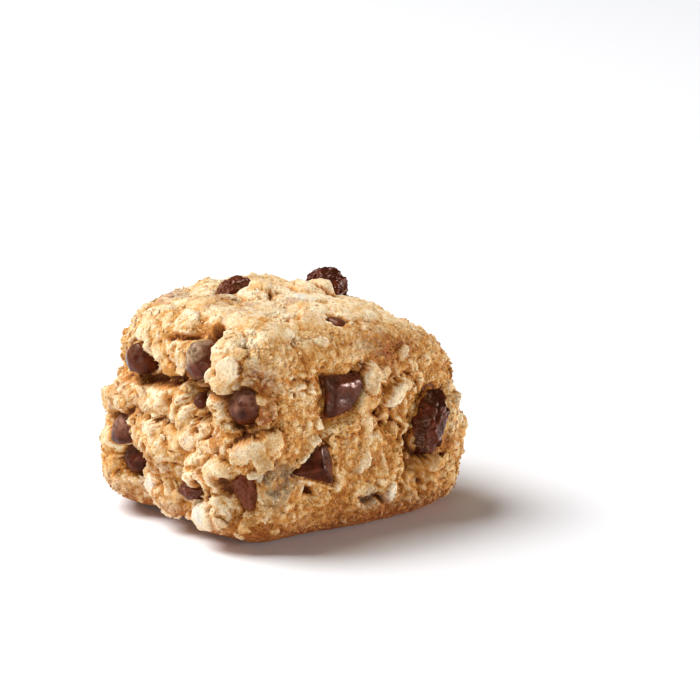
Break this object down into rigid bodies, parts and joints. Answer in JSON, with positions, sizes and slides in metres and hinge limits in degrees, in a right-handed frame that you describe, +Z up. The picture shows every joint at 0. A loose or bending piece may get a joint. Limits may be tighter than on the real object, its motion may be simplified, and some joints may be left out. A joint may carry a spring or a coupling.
{
  "type": "oatmeal cookie bite",
  "caption": "Small block-shaped baked oat cookie bite with craggy broken sides, a flatter top crust, chocolate chips and raisins set in the dough; rests on its flat base.",
  "frame": {"origin": "centre of the footprint, on the flat base", "axes": "+Z up from the base, +X along the longer side; the front (-Y) is the smoother broken face and the left (-X) the craggy one with the fissure"},
  "size_m": [0.0429, 0.0378, 0.0313],
  "materials": {
    "dough": "baked oat dough, dry and matte",
    "chocolate": "dark chocolate, satin",
    "raisin": "dried fruit skin, glossy wrinkles"
  },
  "bodies": {
    "root": {"dough": "dough", "chip_01": "chocolate", "chip_02": "chocolate", "chip_03": "chocolate", "chip_04": "chocolate", "chip_05": "chocolate", "chip_06": "chocolate", "chip_07": "chocolate", "chip_08": "chocolate", "chip_09": "chocolate", "chip_10": "chocolate", "chip_11": "chocolate", "chip_12": "chocolate", "chip_13": "chocolate", "chip_14": "chocolate", "chip_15": "chocolate", "chip_16": "chocolate", "chip_17": "chocolate", "raisin_01": "raisin", "raisin_02": "raisin", "raisin_03": "raisin", "raisin_04": "raisin", "raisin_05": "raisin", "raisin_06": "raisin", "raisin_07": "raisin"}
  },
  "joints": []
}
